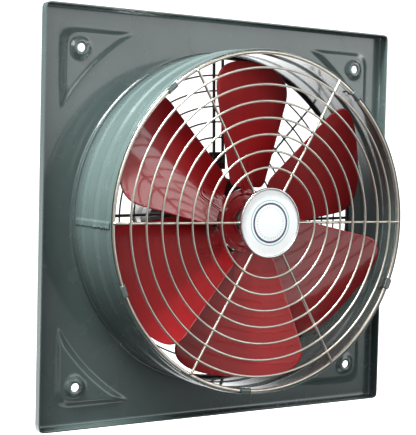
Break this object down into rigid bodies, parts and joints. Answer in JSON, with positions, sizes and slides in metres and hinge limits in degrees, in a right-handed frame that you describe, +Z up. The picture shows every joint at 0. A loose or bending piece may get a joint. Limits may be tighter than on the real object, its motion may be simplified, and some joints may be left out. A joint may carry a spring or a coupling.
{
  "type": "wall exhaust fan",
  "caption": "Square-plate axial exhaust fan: grey-green pressed plate and rolled barrel, plated wire front guard, red bladed impeller, black rear guard carrying the motor.",
  "frame": {"origin": "on the fan's axis, at the centre of the four bolt holes, level with the back of the sheet inside their bosses; the mounting plate's wall face is 6 mm behind it", "axes": "+Y runs back through the wall along the axis, so the guard and badge look towards -Y; +Z up, +X to the right seen from the front"},
  "size_m": [0.5, 0.2109, 0.5],
  "materials": {
    "housing_paint": "grey-green gloss enamel on pressed steel sheet",
    "guard_wire": "bright nickel-plated wire",
    "badge_steel": "plain stamped steel",
    "badge_chrome": "bright plated rim",
    "badge_plastic": "white gloss face with a printed ring",
    "rear_guard_paint": "black enamelled wire and rod",
    "bush_rubber": "black rubber",
    "fastener_zinc": "bright zinc-plated steel",
    "motor_paint": "black satin enamel",
    "core_steel": "laminated electrical steel",
    "winding_copper": "varnished copper winding",
    "rotor_aluminium": "cast aluminium",
    "ground_steel": "ground bearing steel",
    "black_plastic": "black moulded plastic",
    "hub_iron": "dark machined casting",
    "impeller_paint": "deep red gloss enamel on pressed steel"
  },
  "bodies": {
    "housing": {"arm_bolts": "fastener_zinc", "arm_brackets": "rear_guard_paint", "arm_bushes": "bush_rubber", "arm_nuts": "fastener_zinc", "arm_washers": "fastener_zinc", "badge_bezel": "badge_chrome", "badge_face": "badge_plastic", "badge_plate": "badge_steel", "barrel": "housing_paint", "bearing_balls": "ground_steel", "bearing_outer_rings": "ground_steel", "cable_gland": "black_plastic", "capacitor": "black_plastic", "capacitor_strap": "fastener_zinc", "front_end_shield": "motor_paint", "guard_clips": "housing_paint", "guard_rim_ring": "guard_wire", "guard_ring_1": "guard_wire", "guard_ring_2": "guard_wire", "guard_ring_3": "guard_wire", "guard_ring_4": "guard_wire", "guard_ring_5": "guard_wire", "guard_ring_6": "guard_wire", "guard_ring_7": "guard_wire", "guard_spokes": "guard_wire", "lid_screws": "fastener_zinc", "motor_arm_bottom": "rear_guard_paint", "motor_arm_left": "rear_guard_paint", "motor_arm_right": "rear_guard_paint", "motor_arm_top": "rear_guard_paint", "motor_shell": "motor_paint", "mounting_plate": "housing_paint", "rear_end_shield": "motor_paint", "rear_rim_ring": "rear_guard_paint", "rear_rings": "rear_guard_paint", "rear_spokes": "rear_guard_paint", "stator_core": "core_steel", "stator_winding": "winding_copper", "terminal_box": "black_plastic", "terminal_lid": "black_plastic", "tie_bolts": "fastener_zinc", "tie_nuts": "fastener_zinc"},
    "impeller": {"motor_shaft": "ground_steel", "rotor_core": "core_steel", "rotor_end_rings": "rotor_aluminium", "bearing_inner_rings": "ground_steel", "hub": "hub_iron", "set_screw": "fastener_zinc", "spider": "impeller_paint", "blade_rivets": "impeller_paint", "hub_rivets": "impeller_paint", "blade_1": "impeller_paint", "blade_2": "impeller_paint", "blade_3": "impeller_paint", "blade_4": "impeller_paint", "blade_5": "impeller_paint", "blade_6": "impeller_paint"}
  },
  "joints": [
    {"name": "impeller_spin", "type": "hinge", "parent": "housing", "child": "impeller", "pos_m": [0, -0.05, 0], "axis": [0, 1, 0], "continuous": true}
  ]
}
